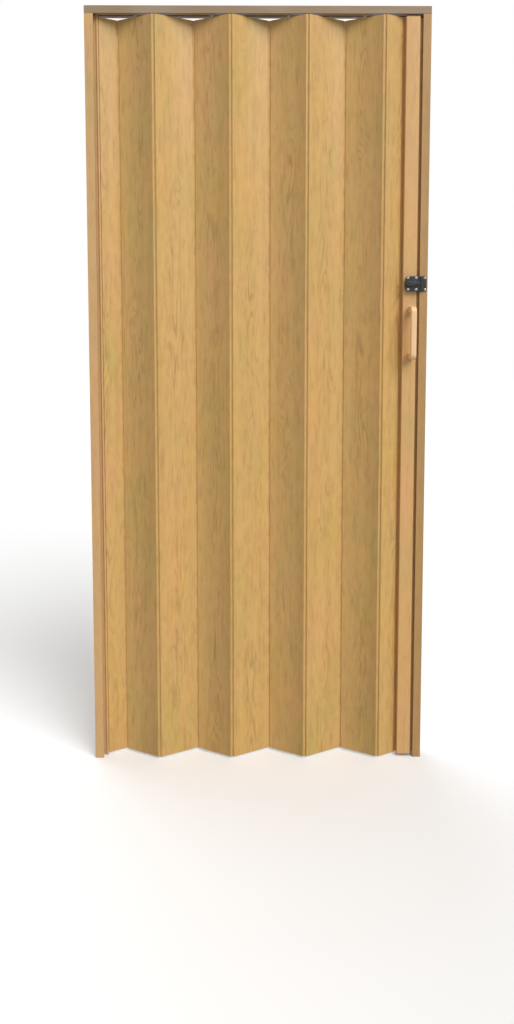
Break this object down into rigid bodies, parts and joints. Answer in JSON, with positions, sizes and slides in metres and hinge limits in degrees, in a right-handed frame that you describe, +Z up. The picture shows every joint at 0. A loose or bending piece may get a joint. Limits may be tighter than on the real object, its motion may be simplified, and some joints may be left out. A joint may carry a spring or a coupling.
{
  "type": "pvc folding door",
  "caption": "Closed accordion door of hollow oak-look PVC panels on soft hinge strips, hung from a head track, with a D-handle on each face and a thumb-turn slide lock.",
  "frame": {"origin": "on the floor, in the middle of the opening's width and under the centre line of the track", "axes": "+Z up, +X from the wall profile towards the strike profile, -Y towards the face with the lock"},
  "size_m": [0.9, 0.116, 2.02],
  "materials": {
    "woodgrain_pvc": "satin",
    "soft_hinge": "matte",
    "track_foil": "satin",
    "nylon_white": "satin",
    "cap_plastic": "matte",
    "handle_plastic": "satin",
    "lock_plastic": "gloss",
    "steel_bright": "polished"
  },
  "bodies": {
    "frame": {"head_track": "track_foil", "wall_profile": "woodgrain_pvc", "strike_profile": "woodgrain_pvc", "keeper": "lock_plastic", "keeper_screws": "steel_bright"},
    "starter_panel": {"starter_panel": "woodgrain_pvc"},
    "hinge_strip_1": {"hinge_strip_1": "soft_hinge"},
    "panel_1": {"panel_1": "woodgrain_pvc", "glider_1": "nylon_white"},
    "hinge_strip_2": {"hinge_strip_2": "soft_hinge"},
    "panel_2": {"panel_2": "woodgrain_pvc"},
    "hinge_strip_3": {"hinge_strip_3": "soft_hinge"},
    "panel_3": {"panel_3": "woodgrain_pvc", "glider_2": "nylon_white"},
    "hinge_strip_4": {"hinge_strip_4": "soft_hinge"},
    "panel_4": {"panel_4": "woodgrain_pvc"},
    "hinge_strip_5": {"hinge_strip_5": "soft_hinge"},
    "panel_5": {"panel_5": "woodgrain_pvc", "glider_3": "nylon_white"},
    "hinge_strip_6": {"hinge_strip_6": "soft_hinge"},
    "panel_6": {"panel_6": "woodgrain_pvc"},
    "hinge_strip_7": {"hinge_strip_7": "soft_hinge"},
    "panel_7": {"panel_7": "woodgrain_pvc", "glider_4": "nylon_white"},
    "hinge_strip_8": {"hinge_strip_8": "soft_hinge"},
    "lead_panel": {"lead_panel": "woodgrain_pvc"},
    "lead_post": {"lead_post": "woodgrain_pvc", "post_cap_top": "cap_plastic", "post_cap_bottom": "cap_plastic", "post_gliders": "nylon_white", "handle_front": "handle_plastic", "handle_rear": "handle_plastic", "handle_screws": "steel_bright", "lock_case": "lock_plastic", "lock_back_plate": "lock_plastic", "lock_screws": "steel_bright"},
    "thumb_turn": {"thumb_turn": "lock_plastic", "crank": "steel_bright"},
    "lock_bolt": {"lock_bolt": "steel_bright"}
  },
  "joints": [
    {"name": "fold", "type": "hinge", "parent": "frame", "child": "starter_panel", "pos_m": [-0.42, 0, 1], "axis": [0, 0, 1], "range_deg": [0, 52]},
    {"name": "strip_1_in", "type": "hinge", "parent": "starter_panel", "child": "hinge_strip_1", "pos_m": [-0.3745, 0.0234, 1], "axis": [0, 0, 1], "range_deg": [-52, 0]},
    {"name": "strip_1_out", "type": "hinge", "parent": "hinge_strip_1", "child": "panel_1", "pos_m": [-0.3655, 0.0234, 1], "axis": [0, 0, 1], "range_deg": [-52, 0]},
    {"name": "strip_2_in", "type": "hinge", "parent": "panel_1", "child": "hinge_strip_2", "pos_m": [-0.2745, -0.0234, 1], "axis": [0, 0, 1], "range_deg": [0, 52]},
    {"name": "strip_2_out", "type": "hinge", "parent": "hinge_strip_2", "child": "panel_2", "pos_m": [-0.2655, -0.0234, 1], "axis": [0, 0, 1], "range_deg": [0, 52]},
    {"name": "strip_3_in", "type": "hinge", "parent": "panel_2", "child": "hinge_strip_3", "pos_m": [-0.1745, 0.0234, 1], "axis": [0, 0, 1], "range_deg": [-52, 0]},
    {"name": "strip_3_out", "type": "hinge", "parent": "hinge_strip_3", "child": "panel_3", "pos_m": [-0.1655, 0.0234, 1], "axis": [0, 0, 1], "range_deg": [-52, 0]},
    {"name": "strip_4_in", "type": "hinge", "parent": "panel_3", "child": "hinge_strip_4", "pos_m": [-0.0745, -0.0234, 1], "axis": [0, 0, 1], "range_deg": [0, 52]},
    {"name": "strip_4_out", "type": "hinge", "parent": "hinge_strip_4", "child": "panel_4", "pos_m": [-0.0655, -0.0234, 1], "axis": [0, 0, 1], "range_deg": [0, 52]},
    {"name": "strip_5_in", "type": "hinge", "parent": "panel_4", "child": "hinge_strip_5", "pos_m": [0.0255, 0.0234, 1], "axis": [0, 0, 1], "range_deg": [-52, 0]},
    {"name": "strip_5_out", "type": "hinge", "parent": "hinge_strip_5", "child": "panel_5", "pos_m": [0.0345, 0.0234, 1], "axis": [0, 0, 1], "range_deg": [-52, 0]},
    {"name": "strip_6_in", "type": "hinge", "parent": "panel_5", "child": "hinge_strip_6", "pos_m": [0.1255, -0.0234, 1], "axis": [0, 0, 1], "range_deg": [0, 52]},
    {"name": "strip_6_out", "type": "hinge", "parent": "hinge_strip_6", "child": "panel_6", "pos_m": [0.1345, -0.0234, 1], "axis": [0, 0, 1], "range_deg": [0, 52]},
    {"name": "strip_7_in", "type": "hinge", "parent": "panel_6", "child": "hinge_strip_7", "pos_m": [0.2255, 0.0234, 1], "axis": [0, 0, 1], "range_deg": [-52, 0]},
    {"name": "strip_7_out", "type": "hinge", "parent": "hinge_strip_7", "child": "panel_7", "pos_m": [0.2345, 0.0234, 1], "axis": [0, 0, 1], "range_deg": [-52, 0]},
    {"name": "strip_8_in", "type": "hinge", "parent": "panel_7", "child": "hinge_strip_8", "pos_m": [0.3255, -0.0234, 1], "axis": [0, 0, 1], "range_deg": [0, 52]},
    {"name": "strip_8_out", "type": "hinge", "parent": "hinge_strip_8", "child": "lead_panel", "pos_m": [0.3345, -0.0234, 1], "axis": [0, 0, 1], "range_deg": [0, 52]},
    {"name": "post_hinge", "type": "hinge", "parent": "lead_panel", "child": "lead_post", "pos_m": [0.38, 0, 1], "axis": [0, 0, 1], "range_deg": [-52, 0]},
    {"name": "lock_turn", "type": "hinge", "parent": "lead_post", "child": "thumb_turn", "pos_m": [0.409, -0.03, 1.3055], "axis": [0, 1, 0], "range_deg": [0, 90]},
    {"name": "bolt_slide", "type": "slide", "parent": "lead_post", "child": "lock_bolt", "axis": [1, 0, 0], "range_m": [0, 0.009]}
  ],
  "couplings": [
    {"joint": "strip_1_in", "follows": "fold", "ratio": -1},
    {"joint": "strip_1_out", "follows": "fold", "ratio": -1},
    {"joint": "strip_2_in", "follows": "fold", "ratio": 1},
    {"joint": "strip_2_out", "follows": "fold", "ratio": 1},
    {"joint": "strip_3_in", "follows": "fold", "ratio": -1},
    {"joint": "strip_3_out", "follows": "fold", "ratio": -1},
    {"joint": "strip_4_in", "follows": "fold", "ratio": 1},
    {"joint": "strip_4_out", "follows": "fold", "ratio": 1},
    {"joint": "strip_5_in", "follows": "fold", "ratio": -1},
    {"joint": "strip_5_out", "follows": "fold", "ratio": -1},
    {"joint": "strip_6_in", "follows": "fold", "ratio": 1},
    {"joint": "strip_6_out", "follows": "fold", "ratio": 1},
    {"joint": "strip_7_in", "follows": "fold", "ratio": -1},
    {"joint": "strip_7_out", "follows": "fold", "ratio": -1},
    {"joint": "strip_8_in", "follows": "fold", "ratio": 1},
    {"joint": "strip_8_out", "follows": "fold", "ratio": 1},
    {"joint": "post_hinge", "follows": "fold", "ratio": -1},
    {"joint": "lock_turn", "follows": "bolt_slide", "rad_per_m": 174.52}
  ]
}
